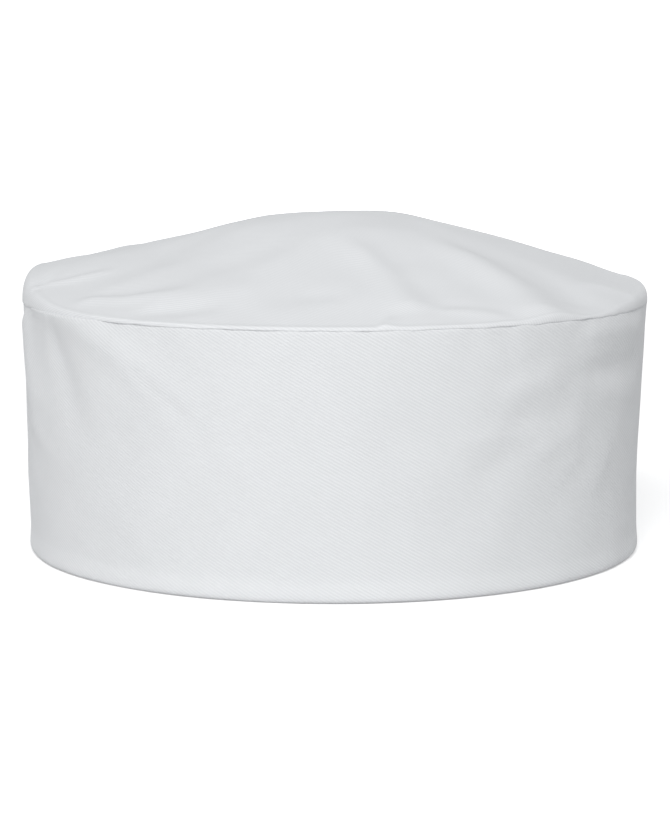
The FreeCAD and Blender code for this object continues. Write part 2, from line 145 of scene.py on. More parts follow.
def ring_ripple(angle, waves, size, seed, radius=HEM_RADIUS, height=0, lean=(0, 0)):
    """Ripple round a ring, which closes on itself; lean makes it change with height too."""
    turned = np.radians(angle)
    return ripple(
        np.cos(turned) * radius + height * lean[0], np.sin(turned) * radius + height * lean[1],
        waves, size, seed,
    )


def along_line(a, b, line):
    """Distance to an open line of points, its side, and the share of its length there."""
    starts = lengths_along(line)
    best = np.full(a.shape, 1e9)
    side, share = np.zeros(a.shape), np.zeros(a.shape)
    for (px, py), (sx, sy), start in zip(line, np.diff(line, axis=0), starts):
        length = math.hypot(sx, sy)
        t = np.clip(((a - px) * sx + (b - py) * sy) / length**2, 0, 1)
        dx, dy = a - px - t * sx, b - py - t * sy
        distance = np.hypot(dx, dy)
        closer = distance < best
        best = np.where(closer, distance, best)
        side = np.where(closer, np.sign(sx * dy - sy * dx), side)
        share = np.where(closer, (start + t * length) / starts[-1], share)
    return best, side, share


def folds(a, b, lines):
    """Height of creases given as (line, height, width, fade at start, fade at end).

    A crease widens along its line, and a shallower one of the other sign lies on its left.
    """
    total = np.zeros(a.shape)
    for line, height, width, start_fade, end_fade in lines:
        distance, side, share = along_line(a, b, line)
        strength = smooth(share / start_fade) * smooth((1 - share) / end_fade)
        spread = width * (0.75 + 0.5 * share)
        beside = hump(distance * side - 1.9 * spread, 1.3 * spread)
        total += height * strength * (hump(distance, spread) - 0.35 * beside)
    return total


def lengths_along(points):
    """Length travelled along a row of points, up to each of them."""
    steps = np.linalg.norm(np.diff(points, axis=0), axis=1)
    return np.concatenate([[0], np.cumsum(steps)])


def edge_roll(distance, roll, full):
    """Half thickness near a folded edge: round over the given width, then full."""
    x = np.clip(distance / roll, 0, 1)
    return full * np.sqrt(np.clip(1 - (1 - x) ** 2, 0.02, 1))


def at(radius, angle, height):
    """Points from a radius, an angle in degrees and a height."""
    turned = np.radians(angle)
    return np.stack(np.broadcast_arrays(
        radius * np.cos(turned), radius * np.sin(turned), height
    ), axis=-1)


def unit(vectors):
    return vectors / (np.linalg.norm(vectors, axis=-1, keepdims=True) + 1e-12)


def outward_of(points):
    """Level directions away from the cap's axis."""
    return unit(points * np.array([1, 1, 0]))


# ---- meshes
def new_object(name, data):
    item = bpy.data.objects.new(name, data)
    bpy.context.scene.collection.objects.link(item)
    return item


def make_piece(name, points, faces, weave, whitening):
    mesh = bpy.data.meshes.new(name)
    mesh.from_pydata((points * M).tolist(), [], [list(map(int, face)) for face in faces])
    mesh.update()
    # the per-point attribute draws cloth paler, and on the floor's glow sheet it is the strength
    # of the light painted there
    for label, kind, field, values in (
        ("weave", "FLOAT_VECTOR", "vector", weave), ("whitening", "FLOAT", "value", whitening),
    ):
        attribute = mesh.attributes.new(label, kind, "POINT")
        attribute.data.foreach_set(field, np.asarray(values, np.float32).ravel())
    mesh.polygons.foreach_set("use_smooth", [True] * len(mesh.polygons))
    return new_object(name, mesh)


def grid_faces(rows, columns):
    i, j = np.meshgrid(np.arange(rows - 1), np.arange(columns - 1), indexing="ij")
    corner = i * columns + j
    return np.stack([corner, corner + 1, corner + columns + 1, corner + columns], axis=-1)


def rim_of(index):
    """Indices round the edge of a grid, in order."""
    return np.concatenate([index[0, :-1], index[:-1, -1], index[-1, :0:-1], index[:0:-1, 0]])


def ring_faces(before, after):
    return np.stack([before, after, np.roll(after, -1), np.roll(before, -1)], axis=1)


def flat_weave(u, v):
    u, v = np.broadcast_arrays(u, v)
    return np.stack([u.ravel(), v.ravel(), np.zeros(u.size)], axis=1)


def cloth_grid(name, points, u, v, keep=None, whitening=0.0):
    """One open ply from a grid of points; u and v are its flat-pattern coordinates."""
    shape = points.shape[:2]
    faces = grid_faces(*shape)
    if keep is not None:
        faces = faces[keep]
    used, faces = np.unique(faces, return_inverse=True)
    points, faces = points.reshape(-1, 3)[used], faces.reshape(-1, 4)
    whitened = np.broadcast_to(whitening, shape).ravel()[used]
    return make_piece(name, points, faces, flat_weave(u, v)[used], whitened)


def slab(name, middle, half, u, v, whitening=0.0, goes_on=False):
    """Closed piece of cloth of a given half thickness on both sides of a grid of points.

    Where another piece goes on from its first row, that row is shaded as if it went on too.
    """
    shape = middle.shape[:2]
    index = np.arange(middle[..., 0].size).reshape(shape)
    rise = outward_of(middle) * half[..., None]
    points = np.concatenate([(middle + rise).reshape(-1, 3), (middle - rise).reshape(-1, 3)])
    over, rim = grid_faces(*shape).reshape(-1, 4), rim_of(index)
    under, side = over[:, ::-1] + index.size, ring_faces(rim, rim + index.size)
    piece = make_piece(
        name, points, np.concatenate([over, under, side]), np.tile(flat_weave(u, v), (2, 1)),
        np.tile(np.broadcast_to(whitening, shape).ravel(), 2),
    )
    if goes_on:
        first_row = {*index[0].tolist(), *(index[0] + index.size).tolist()}
        for edge in piece.data.edges:
            edge.use_edge_sharp = set(edge.vertices) <= first_row
    return piece


# ---- thread
class Thread:
    """Gathers many short runs of thread into one mesh."""

    def __init__(self, radius=0.17, sides=6):
        self.radius, self.sides = radius, sides
        self.points, self.faces, self.weave, self.count = [], [], [], 0

    def run(self, path, up, radius=None):
        """One length of thread along a path of points; up is any direction off the path."""
        radius = radius or self.radius
        ahead = unit(np.gradient(path, axis=0))
        across = unit(np.cross(ahead, np.broadcast_to(up, path.shape)))
        upright = np.cross(across, ahead)
        turn = np.linspace(0, math.tau, self.sides, endpoint=False)
        ring = across[:, None] * np.cos(turn)[:, None] + upright[:, None] * np.sin(turn)[:, None]
        taper = np.full(len(path), radius)
        taper[[0, -1]] *= 0.7
        self.points.append((path[:, None] + ring * taper[:, None, None]).reshape(-1, 3))
        yarn_shift = self.count * 0.37
        self.weave.append(flat_weave(lengths_along(path)[:, None] + yarn_shift, turn * radius))
        rings = self.count + np.arange(len(path) * self.sides).reshape(len(path), self.sides)
        beside = np.roll(rings, -1, axis=1)
        sides = np.stack([rings[:-1], beside[:-1], beside[1:], rings[1:]], axis=-1)
        self.faces += sides.reshape(-1, 4).tolist()
        self.faces += [rings[0, ::-1].tolist(), rings[-1].tolist()]
        self.count += rings.size

    def stitch(self, start, stop, up, rise=0.1, sink=0.22):
        """One stitch that comes out of the cloth, lies on it and goes back in."""
        shares = np.array([0, 0.1, 0.3, 0.7, 0.9, 1])
        lift = np.array([-sink, rise * 0.5, rise, rise, rise * 0.5, -sink])
        self.run(start + (stop - start) * shares[:, None] + up * lift[:, None], up)

    def row(self, points, pitch, seed, inside=False, gap=0.45, rise=0.1):
        """Stitches end to end along a line of points, on the outside or inside of the cap."""
        ups = outward_of(points) * (-1 if inside else 1)
        length = lengths_along(points)
        number = max(1, round(length[-1] / pitch))
        pitch = length[-1] / number
        rng = np.random.default_rng(seed)
        for i in range(number):
            drift = rng.uniform(-0.06, 0.06, 2) * pitch
            ends = [i * pitch + gap / 2 + drift[0], (i + 1) * pitch - gap / 2 + drift[1]]
            ends = np.clip(ends, 0, length[-1])
            start, stop, up = (
                np.array([np.interp(spot, length, values[:, k]) for k in range(3)])
                for spot, values in ((ends[0], points), (ends[1], points), (sum(ends) / 2, ups))
            )
            self.stitch(start, stop, unit(up), rise)

    def rectangle(self, surface, heights, angles, seed, crossed=False):
        """Rows round a rectangle on a surface, and across its diagonals if asked."""
        (low, high), (start, stop) = heights, angles
        corners = [(start, low), (stop, low), (stop, high), (start, high), (start, low)]
        lines = list(zip(corners, corners[1:]))
        if crossed:
            lines += [((start, low), (stop, high)), ((start, high), (stop, low))]
        for k, ((a0, z0), (a1, z1)) in enumerate(lines):
            t = np.linspace(0, 1, 40)
            angle, height = a0 + (a1 - a0) * t, z0 + (z1 - z0) * t
            self.row(at(surface(angle, height), angle, height), 2.4, seed + k)

    def piece(self, name):
        points = np.concatenate(self.points)
        return make_piece(
            name, points, self.faces, np.concatenate(self.weave), np.zeros(len(points))
        )


# ---- materials
def set_inputs(node, values):
    for socket, value in values.items():
        node.inputs[socket].default_value = value


class Finish:
    """A procedural material on one Principled shader, fed by the flat-pattern coordinates."""

    def __init__(self, name, roughness, sheen, specular, sheen_roughness=0.5):
        self.material = bpy.data.materials.new(name)
        self.material.use_nodes = True
        self.tree = self.material.node_tree
        self.shader = self.tree.nodes["Principled BSDF"]
        set_inputs(self.shader, {
            "Roughness": roughness, "Sheen Weight": sheen,
            "Sheen Roughness": sheen_roughness, "Specular IOR Level": specular,
        })
        self.weave = self.attribute("weave", "Vector")

    def fill(self, socket, value):
        """Link a socket or set its value."""
        if isinstance(value, bpy.types.NodeSocket):
            self.tree.links.new(value, socket)
        else:
            socket.default_value = value

    def node(self, kind, inputs=None, **settings):
        node = self.tree.nodes.new(kind)
        for key, value in settings.items():
            setattr(node, key, value)
        for key, value in (inputs or {}).items():
            self.fill(node.inputs[key], value)
        return node

    def attribute(self, name, output):
        return self.node("ShaderNodeAttribute", attribute_name=name).outputs[output]

    def math(self, operation, *values):
        inputs = dict(enumerate(values))
        return self.node("ShaderNodeMath", inputs, operation=operation).outputs[0]

    def vector(self, operation, a, b):
        inputs = {0: a, 1: b}
        return self.node("ShaderNodeVectorMath", inputs, operation=operation).outputs[0]

    def noise(self, scale, detail, roughness=0.5, stretch=None, output="Fac"):
        vector = self.vector("MULTIPLY", self.weave, stretch) if stretch else self.weave
        return self.node("ShaderNodeTexNoise", {
            "Vector": vector, "Scale": scale, "Detail": detail, "Roughness": roughness,
        }).outputs[output]

    def turned(self, angle, wander):
        """The flat coordinates turned by an angle, with the slight wander of real yarn."""
        drift = self.vector("MULTIPLY", self.noise(0.03, 3.0, output="Color"), (wander * 8,) * 3)
        turned = self.node("ShaderNodeVectorRotate", {
            "Vector": self.vector("ADD", self.weave, drift), "Angle": math.radians(angle),
        }, rotation_type="Z_AXIS").outputs[0]
        split = self.node("ShaderNodeSeparateXYZ", {0: turned})
        return split.outputs["X"], split.outputs["Y"]

    def wave(self, coordinate, pitch, shift=None):
        """A wave between 0 and 1 with a given pitch in millimetres."""
        phase = self.math("MULTIPLY", coordinate, math.tau / pitch)
        if shift is not None:
            phase = self.math("ADD", phase, shift)
        return self.math("MULTIPLY_ADD", self.math("SINE", phase), 0.5, 0.5)

    def mix(self, factor, low, high, blend_type="MIX"):
        """Mix of two colours, each a socket or three numbers."""
        low, high = ((*c, 1) if isinstance(c, tuple) else c for c in (low, high))
        inputs = {"Factor": factor, 6: low, 7: high}
        settings = {"data_type": "RGBA", "blend_type": blend_type}
        return self.node("ShaderNodeMix", inputs, **settings).outputs[2]

    def cloth(self, low, high, shade_by_relief, ground, fuzz, fuzz_share, rough, depth, mottle=0.03):
        """Colour, relief and roughness of a cloth whose fuzz lies over the yarns of its ground.

        Its colour holds painted shade: darker where the relief is low, between the yarns. It is
        also cloudy over centimetres, and paler by a per-point attribute, towards the band's hem
        and at the worn edges of the strap and the binding tape.
        """
        cloud = self.math("MULTIPLY_ADD", self.noise(0.045, 3.0), mottle * 2, 1 - mottle)
        # painted shade: the base colour runs from low to high with the height of the relief,
        # darkest between the yarns
        shaded = self.mix(1.0, self.mix(shade_by_relief, low, high), cloud, "MULTIPLY")
        pale = tuple(min(1.0, x * 1.05) for x in high)
        colour = self.mix(self.attribute("whitening", "Fac"), shaded, pale)
        height = self.math("ADD", ground, self.math("MULTIPLY", fuzz, fuzz_share))
        bump = self.node("ShaderNodeBump", {"Height": height, "Distance": depth * M})
        for socket, value in (
            ("Normal", bump.outputs[0]), ("Base Color", colour),
            ("Roughness", self.math("MULTIPLY_ADD", fuzz, *rough)),
        ):
            self.tree.links.new(value, self.shader.inputs[socket])
        return self.material


def twill(name, depth=0.05):
    """White twill: diagonal wales, each one a row of short yarn floats."""
    pitch = 0.88
    finish = Finish(name, 0.85, 0.18, 0.2, sheen_roughness=0.6)
    across, along = finish.turned(-60.0, 0.12)
    wale = finish.math("POWER", finish.wave(across, pitch), 0.75)
    floats = finish.wave(along, 0.62, finish.math("MULTIPLY", across, math.pi / pitch))
    yarn = finish.math("MULTIPLY", wale, finish.math("MULTIPLY_ADD", floats, 0.3, 0.7))
    fuzz = finish.noise(5.5, 3.0, 0.6)
    # low is the painted shade between the yarns, high is the yarns' own white
    low, high = (0.755, 0.765, 0.78), (0.83, 0.84, 0.85)
    return finish.cloth(low, high, yarn, yarn, fuzz, 0.35, (0.2, 0.74), depth)


def plain_weave(name, low, high, pitch, turn):
    """Over-and-under weave of two sets of yarns."""
    finish = Finish(name, 0.85, 0.15, 0.2)
    across, along = finish.turned(turn, 0.08)
    checker = finish.math("SUBTRACT", finish.wave(across, pitch), finish.wave(along, pitch))
    checker = finish.math("ABSOLUTE", checker)
    fuzz = finish.noise(6.0, 3.0, 0.6)
    return finish.cloth(low, high, checker, checker, fuzz, 0.4, (0.2, 0.76), 0.06)


def terry(name, low, high):
    """Soft looped cotton of the sweatband."""
    finish = Finish(name, 0.9, 0.35, 0.15, sheen_roughness=0.7)
    ribs, along = finish.turned(0.0, 0.1)
    loops = finish.wave(along, 0.8, finish.math("MULTIPLY", ribs, 2.0))
    rib = finish.math("MULTIPLY_ADD", finish.wave(ribs, 1.3), 0.5, 0.5)
    nap = finish.math("MULTIPLY", rib, loops)
    fuzz = finish.noise(3.2, 4.0, 0.65)
    ground = finish.math("MULTIPLY", nap, 0.6)
    return finish.cloth(low, high, nap, ground, fuzz, 1.0, (0.12, 0.84), 0.16, 0.04)


def satin(name, low, high):
    """Smooth woven label: long shiny floats with fine weft lines."""
    finish = Finish(name, 0.4, 0.1, 0.5)
    along = finish.turned(0.0, 0.03)[1]
    floats = finish.noise(2.2, 2.0, stretch=(6.0, 0.6, 1.0))
    ground = finish.math("MULTIPLY", finish.wave(along, 0.22), 0.5)
    return finish.cloth(low, high, floats, ground, floats, 1.0, (0.25, 0.28), 0.03, 0.02)


def spun(name, low, high):
    """Twisted thread: the plies lie aslant round it."""
    finish = Finish(name, 0.55, 0.2, 0.35)
    split = finish.node("ShaderNodeSeparateXYZ", {0: finish.weave}).outputs
    ply = finish.wave(finish.math("MULTIPLY_ADD", split["Y"], 1.6, split["X"]), 0.5)
    fuzz = finish.noise(7.0, 2.0)
    return finish.cloth(low, high, ply, ply, fuzz, 0.3, (0.2, 0.45), 0.04, 0.02)


def nylon(name, low, high, scale, depth, roughness):
    """Woven nylon ground of the hook and the loop tape."""
    finish = Finish(name, roughness, 0.2, 0.45)
    across, along = finish.turned(0.0, 0.05)
    ribs = finish.math("MULTIPLY", finish.wave(across, 0.7), finish.wave(along, 0.45))
    fuzz = finish.noise(scale, 3.0, 0.6)
    return finish.cloth(low, high, fuzz, ribs, fuzz, 1.0, (0.25, roughness - 0.12), depth)


band_twill = twill("band_twill")
crown_twill = twill("crown_twill", depth=0.022)
strap_twill = twill("strap_twill")
facing_weave = plain_weave("facing_weave", (0.68, 0.69, 0.70), (0.80, 0.81, 0.82), 0.55, 0.0)
tape_weave = plain_weave("tape_weave", (0.70, 0.71, 0.72), (0.84, 0.85, 0.855), 0.48, 45.0)
sweat_terry = terry("sweat_terry", (0.68, 0.68, 0.665), (0.83, 0.83, 0.815))
label_satin = satin("label_satin", (0.78, 0.78, 0.785), (0.87, 0.87, 0.875))
white_thread = spun("white_thread", (0.70, 0.71, 0.72), (0.88, 0.885, 0.89))
hook_nylon = nylon("hook_nylon", (0.70, 0.71, 0.72), (0.82, 0.83, 0.84), 4.0, 0.05, 0.42)
loop_nylon = nylon("loop_nylon", (0.68, 0.69, 0.70), (0.82, 0.83, 0.84), 2.6, 0.12, 0.7)


def dress(piece, material, slot, *nodes, body="cap"):
    """Give a piece its material, hide the CAD nodes it stands for, and hang it on the body it
    rides on, if any; the slot is not used.
    """
    piece.data.materials.append(material)
    if nodes:
        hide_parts(*nodes)
    if body is not None:
        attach(piece, body)


def sew(thread, name, node, body="cap"):
    dress(thread.piece(name), white_thread, "thread", node, body=body)


# ---- shape of the band
# how far the cloth stands off the CAD cone at each height, on the -X and on the +X side
SIDE_HEIGHTS = [0, 2, 7.5, 15, 24, 45, 52, 67, 79]
LEFT_OFFSETS = [0.0, 0.2, -0.25, -0.15, -0.05, -0.35, -0.35, -0.6, -0.6]
RIGHT_OFFSETS = [0.1, 0.45, -0.05, -0.4, -0.7, -0.5, -0.3, 0.25, 0.5]

# lines of (angle from the front, height), then how far the fold stands out, its width, and
# the share of its length over which each of its ends fades
BAND_CREASES = [
    ([(-74, 83), (-60, 82), (-50, 78), (-40, 70), (-32, 60), (-25, 50)], 1.1, 5.5, 0.1, 0.4),
    ([(-62, 76), (-57, 67), (-54, 58), (-52, 48), (-50, 38)], -1.0, 6.4, 0.2, 0.4),
    ([(-77, 78), (-75, 66), (-72, 56), (-68, 46), (-64, 36)], 1.25, 8.0, 0.1, 0.4),
    ([(-38, 68), (-31, 59), (-21, 47)], -0.2, 2.2, 0.2, 0.4),
    ([(-78, 45), (-68, 41), (-58, 34), (-51, 26)], 0.25, 3.6, 0.2, 0.4),
    ([(-20, 77), (-17, 66), (-15, 58)], -0.12, 3.4, 0.2, 0.6),
    ([(44, 73), (52, 75), (74, 74)], 0.7, 3.6, 0.3, 0.1),
    ([(44, 64), (54, 63), (74, 62)], -0.75, 4.2, 0.3, 0.2),
    ([(50, 55), (60, 55), (76, 52)], 0.32, 4.0, 0.3, 0.2),
    ([(31, 74), (31, 66), (29, 58)], -0.12, 3.6, 0.2, 0.4),
    ([(26, 58), (36, 61), (44, 65)], 0.3, 3.6, 0.4, 0.3),
    ([(28, 50), (38, 52), (48, 55)], -0.4, 4.4, 0.3, 0.3),
    ([(19, 45), (27, 46), (34, 50)], 0.22, 3.2, 0.4, 0.4),
    ([(22, 35), (29, 38), (36, 44)], -0.22, 3.6, 0.4, 0.4),
    ([(35, 40), (43, 43), (51, 46)], 0.3, 4.0, 0.3, 0.3),
    ([(51, 42), (45, 35), (38, 26)], 0.2, 3.6, 0.3, 0.5),
    ([(60, 42), (57, 34), (52, 24)], 0.18, 3.2, 0.3, 0.4),
    ([(8, 30), (18, 20), (26, 12)], -0.1, 5.0, 0.4, 0.4),
    ([(116, 74), (128, 62), (138, 46)], -1.2, 6.0, 0.2, 0.5),
    ([(126, 76), (138, 66), (148, 52)], 0.8, 5.0, 0.2, 0.5),
    ([(-112, 74), (-121, 62), (-128, 47)], -1.1, 5.5, 0.2, 0.5),
    ([(-124, 76), (-133, 64), (-139, 52)], 0.7, 4.5, 0.2, 0.5),
    ([(160, 76), (166, 64)], -0.6, 4.0, 0.2, 0.5),
    ([(-150, 74), (-143, 60)], -0.6, 4.2, 0.2, 0.5),
]
# how far below the seam its puckers reach, and how far above the hem its waves reach
PUCKER_HEIGHT = 13
HEM_WAVE_HEIGHT = 9
# how far the two plies stop short of the arch's edge, inside its binding
OUTER_CUT = 3.5
LINING_CUT = 4.5


def side_offset(angle, height):
    """How far the cloth stands off the CAD cone."""
    left = np.interp(height, SIDE_HEIGHTS, LEFT_OFFSETS)
    right = np.interp(height, SIDE_HEIGHTS, RIGHT_OFFSETS)
    return left + (right - left) * (0.5 + 0.5 * np.cos(np.radians(angle)))


def round_ring(arc):
    """Angles of places along a flat strip whose two ends meet at the back."""
    return (BACK + arc / arc[-1] * 360)[None, :]


def cone(height):
    return HEM_RADIUS + (TOP_RADIUS - HEM_RADIUS) * height / BAND_HEIGHT


def from_front(angle):
    """Angle from the front, between -180 and 180, positive towards +X."""
    return (np.asarray(angle, float) - FRONT + 180) % 360 - 180


def band_relief(angle, height):
    """Creases, seam puckers and unevenness of the band's face."""
    angle, height = np.broadcast_arrays(from_front(angle), np.asarray(height, float))
    scale = HEM_RADIUS * math.pi / 180
    relief = folds(angle * scale, height, [
        ([(a * scale, z) for a, z in line], *rest) for line, *rest in BAND_CREASES
    ])
    relief += ring_ripple(angle, (46, 31, 64), 0.2, 11, height=height, lean=(0.7, -0.4))
    relief += ring_ripple(angle, (13, 19), 0.05, 12, height=height, lean=(0.9, 0.5))
    seam = np.clip((height - (BAND_HEIGHT - PUCKER_HEIGHT)) / PUCKER_HEIGHT, 0, 1) ** 1.5
    relief += seam * ring_ripple(angle, (6.5, 9.5, 14), 0.16, 13)
    hem = np.clip((HEM_WAVE_HEIGHT - height) / HEM_WAVE_HEIGHT, 0, 1)
    relief += hem * ring_ripple(angle, (11, 17, 27), 0.07, 14)
    return relief


def face_radius(angle, height):
    return cone(height) + side_offset(angle, height) + band_relief(angle, height)


def outside_arch(angle, height, half_width):
    """True for each cell of a grid of the wall that lies outside an arch of a half width."""
    grid = np.stack(np.broadcast_arrays(angle, height), axis=-1)
    middles = (grid[:-1, :-1] + grid[1:, :-1] + grid[:-1, 1:] + grid[1:, 1:]) / 4
    angle, height = middles[..., 0], middles[..., 1]
    x, y, z = np.moveaxis(at(cone(height), angle, height), -1, 0)
    return (np.hypot(x, np.maximum(z - ARCH_SPRING, 0)) > half_width) | (y < 0)


def make_band():
    """Outer ply: tucked into the crown seam, down the face, round the hem and up inside.

    Its section is a row of (depth behind the face, height).
    """
    top = BAND_HEIGHT
    section = np.array(
        [(1.3, top + 0.3), (0.7, top + 0.28), (0.28, top + 0.15), (0.09, top - 0.1),
         (0.01, top - 0.5)]
        + [(0.0, z) for z in np.linspace(top - 1.5, 1.9, 72)]
        + [(0.0, 1.3), (0.1, 0.75), (0.34, 0.3), (0.7, 0.08), (1.05, 0.22), (1.25, 0.7)]
        + [(1.3, z) for z in (1.6, 3.0, 5.0, 7.2)]
    )
    depth, height = np.hsplit(section, 2)
    length = 612
    seam = np.array([0, 0.25, 0.55, 1.0, 1.8])
    arc = np.concatenate([seam, np.linspace(2.8, length - 2.8, 548), length - seam[::-1]])
    angle = round_ring(arc)
    from_seam = np.minimum(arc, arc[-1] - arc)[None, :]
    outer = 1 - smooth(depth / 0.9)
    radius = cone(height) - depth + outer * (
        side_offset(angle, height) + band_relief(angle, height) - 0.5 * hump(from_seam, 0.45)
    )
    keep = outside_arch(angle, height, ARCH_HALF + OUTER_CUT)
    # the outer face is drawn paler over its lowest few millimetres
    pale_hem = smooth((7.5 - height) / 2.5) * outer * 0.22
    piece = cloth_grid(
        "band_cloth", at(radius, angle, height), arc[None, :], -lengths_along(section)[:, None],
        keep, pale_hem,
    )
    dress(piece, band_twill, "white_twill", "side_band", "band_interlining")


def make_lining():
    """Facing behind the band, turned under at the hem; its section is as the band's."""
    section = np.array(
        [(FACING_DEPTH - 0.45, 1.6), (FACING_DEPTH - 0.3, 0.95), (FACING_DEPTH - 0.05, 1.0)]
        + [(FACING_DEPTH, z) for z in np.linspace(1.5, BAND_HEIGHT, 40)]
    )
    depth, height = np.hsplit(section, 2)
    arc = np.linspace(0, 600, 301)
    angle = round_ring(arc)
    free = smooth((height - 34) / 8) * smooth((72 - height) / 6)
    sag = ring_ripple(angle, (38, 24), 0.22, 21, height=height, lean=(1, -1)) * free
    from_seam = np.minimum(arc, arc[-1] - arc)[None, :]
    radius = cone(height) - depth + sag + 0.3 * hump(from_seam, 1.2)
    keep = outside_arch(angle, height, ARCH_HALF + LINING_CUT)
    piece = cloth_grid("band_lining", at(radius, angle, height), arc[None, :], height, keep)
    dress(piece, facing_weave, "facing_cloth", "band_facing")


def make_seam_tape():
    """Tape folded round the raw edges of the crown seam, and the stitches through it."""
    bottom, top = heights_of("crown_seam_tape")
    inside = ring_radius("crown_seam_tape", bottom + 1, top, min)
    outside = ring_radius("crown_seam_tape", bottom, bottom + 0.2, max)
    section = np.array(
        [(inside + 0.02, z) for z in np.linspace(top - 0.2, bottom + 0.9, 9)]
        + [(inside + 0.12, bottom + 0.35), (inside + 0.45, bottom + 0.02),
           (outside - 0.25, bottom + 0.02), (outside - 0.02, bottom + 0.4)]
        + [(outside, z) for z in np.linspace(bottom + 1, top - 0.6, 6)]
    )
    radius, height = np.hsplit(section, 2)
    arc = np.linspace(0, 604, 403)
    angle = round_ring(arc)

    def pucker(angle):
        return ring_ripple(angle, (5.5, 8.5, 14), 0.14, 31)

    wave = pucker(angle) * smooth((inside + 0.6 - radius) / 0.5)
    lift = ring_ripple(angle, (7.5, 12, 21), 0.22, 32) * smooth((top - height) / 5)
    piece = cloth_grid(
        "seam_tape", at(radius + wave, angle, height + lift), arc[None, :],
        lengths_along(section)[:, None],
    )
    dress(piece, tape_weave, "binding_tape", "crown_seam_tape")

    thread = Thread()
    angle = np.linspace(BACK + 0.5, BACK + 359.5, 721)
    height = bottom + 2.0 + 0.12 * np.sin(angle * 0.7)
    thread.row(at(inside + 0.02 + pucker(angle), angle, height), 2.8, 33, inside=True)
    sew(thread, "seam_tape_stitches", "crown_tape_stitching")


# ---- crown
# angle from the front, then how high the crown's rolled shoulder stands over the seam
SHOULDER = [
    (-180, 4.6), (-140, 4.4), (-120, 6.0), (-104, 8.8), (-90, 9.9), (-78, 6.4), (-66, 2.8),
    (-52, 1.2), (-30, 0.8), (0, 0.7), (30, 0.8), (52, 1.1), (68, 2.4), (82, 4.5), (100, 4.8),
    (140, 5.0), (180, 4.6),
]
SHOULDER_SQUARENESS = 0.8
PLATEAU = 36.7
# lines of (x, y), then as in the band's creases
CROWN_CREASES = [
    ([(-96, -34), (-92, -29), (-89, -20), (-85, -6)], -0.8, 2.6, 0.1, 0.5),
    ([(-94, -26), (-82, -28), (-74, -28), (-64, -26)], 0.75, 2.6, 0.1, 0.4),
    ([(-78, -49), (-72, -54), (-62, -60), (-50, -64), (-36, -65)], 1.2, 4.2, 0.2, 0.4),
    ([(-60, -72), (-54, -75), (-44, -78), (-36, -78), (-26, -69)], -0.8, 4.6, 0.2, 0.4),
    ([(-6, -30), (-14, -48), (-24, -66), (-34, -84)], 0.8, 7.0, 0.3, 0.3),
    ([(-2, -30), (6, -44), (15, -62), (24, -88)], 1.35, 5.2, 0.4, 0.1),
    ([(28, -26), (41, -42), (52, -55), (59, -67), (65, -80)], 2.4, 8.0, 0.3, 0.15),
    ([(28, -85), (38, -83), (46, -82), (54, -83)], 0.55, 2.6, 0.3, 0.3),
    ([(74, -35), (84, -33), (95, -31)], 0.5, 3.5, 0.4, 0.2),
    ([(58, -24), (70, -44), (76, -60)], -0.55, 6.5, 0.4, 0.2),
    ([(-12, -77), (-3, -78), (7, -78)], -0.5, 5.0, 0.4, 0.4),
    ([(13, -99), (16, -95), (18, -90)], 0.7, 1.9, 0.1, 0.5),
    ([(-30, 30), (-55, 50), (-72, 66)], -1.8, 6.0, 0.3, 0.1),
    ([(-22, 44), (-40, 66), (-52, 82)], 1.2, 6.0, 0.3, 0.1),
    ([(20, 40), (34, 62), (46, 84)], -1.7, 6.0, 0.3, 0.1),
    ([(34, 34), (52, 52), (68, 68)], 1.4, 6.0, 0.3, 0.1),
    ([(-6, 50), (-10, 72), (-12, 95)], -1.0, 5.0, 0.3, 0.1),
    ([(60, 14), (78, 24), (94, 30)], -1.2, 4.6, 0.3, 0.1),
    ([(-60, 12), (-78, 24), (-92, 36)], 1.0, 5.0, 0.3, 0.1),
]


def shoulder_height(angle):
    """The table's height, averaged over 18 degrees so that no table row leaves an edge."""
    turned, height = np.array(SHOULDER).T
    near = [np.interp(from_front(angle + step), turned, height) for step in range(-9, 10, 3)]
    return sum(near) / len(near)


def shoulder_width(angle):
    return 1.2 + 0.42 * shoulder_height(angle)


def seam_radius(angle):
    return cone(BAND_HEIGHT) + side_offset(angle, BAND_HEIGHT)


def tent(radius, rim):
    """Share of the crown's rise left at a radius: round over the plateau, then straight."""
    slope = 1 / (rim - PLATEAU / 2)
    inside = 1 - slope * radius**2 / (2 * PLATEAU)
    return np.where(radius < PLATEAU, inside, 1 - slope * (radius - PLATEAU / 2))


def crown_height(x, y):
    """Height of the crown cloth over a point of the plan, short of its rolled shoulder."""
    radius = np.hypot(x, y)
    angle = direction(x, y)
    foot = shoulder_height(angle)
    rim = seam_radius(angle)
    height = BAND_HEIGHT + foot + (CROWN_TOP - BAND_HEIGHT - foot) * tent(radius, rim)
    fuller_right = 1.4 * x / np.maximum(radius, 1) * hump(radius - 52, 24)
    wander = ripple(x, y, (42, 58, 30), 0.55, 41) + ripple(x, y, (17, 23), 0.14, 42)
    wander *= smooth((rim - radius) / 16)
    return height + fuller_right + folds(x, y, CROWN_CREASES) + wander


def squircle(n):
    """A square grid mapped smoothly on to the unit disc."""
    u, v = np.meshgrid(np.linspace(-1, 1, n), np.linspace(-1, 1, n), indexing="ij")
    return u * np.sqrt(1 - v * v / 2), v * np.sqrt(1 - u * u / 2)


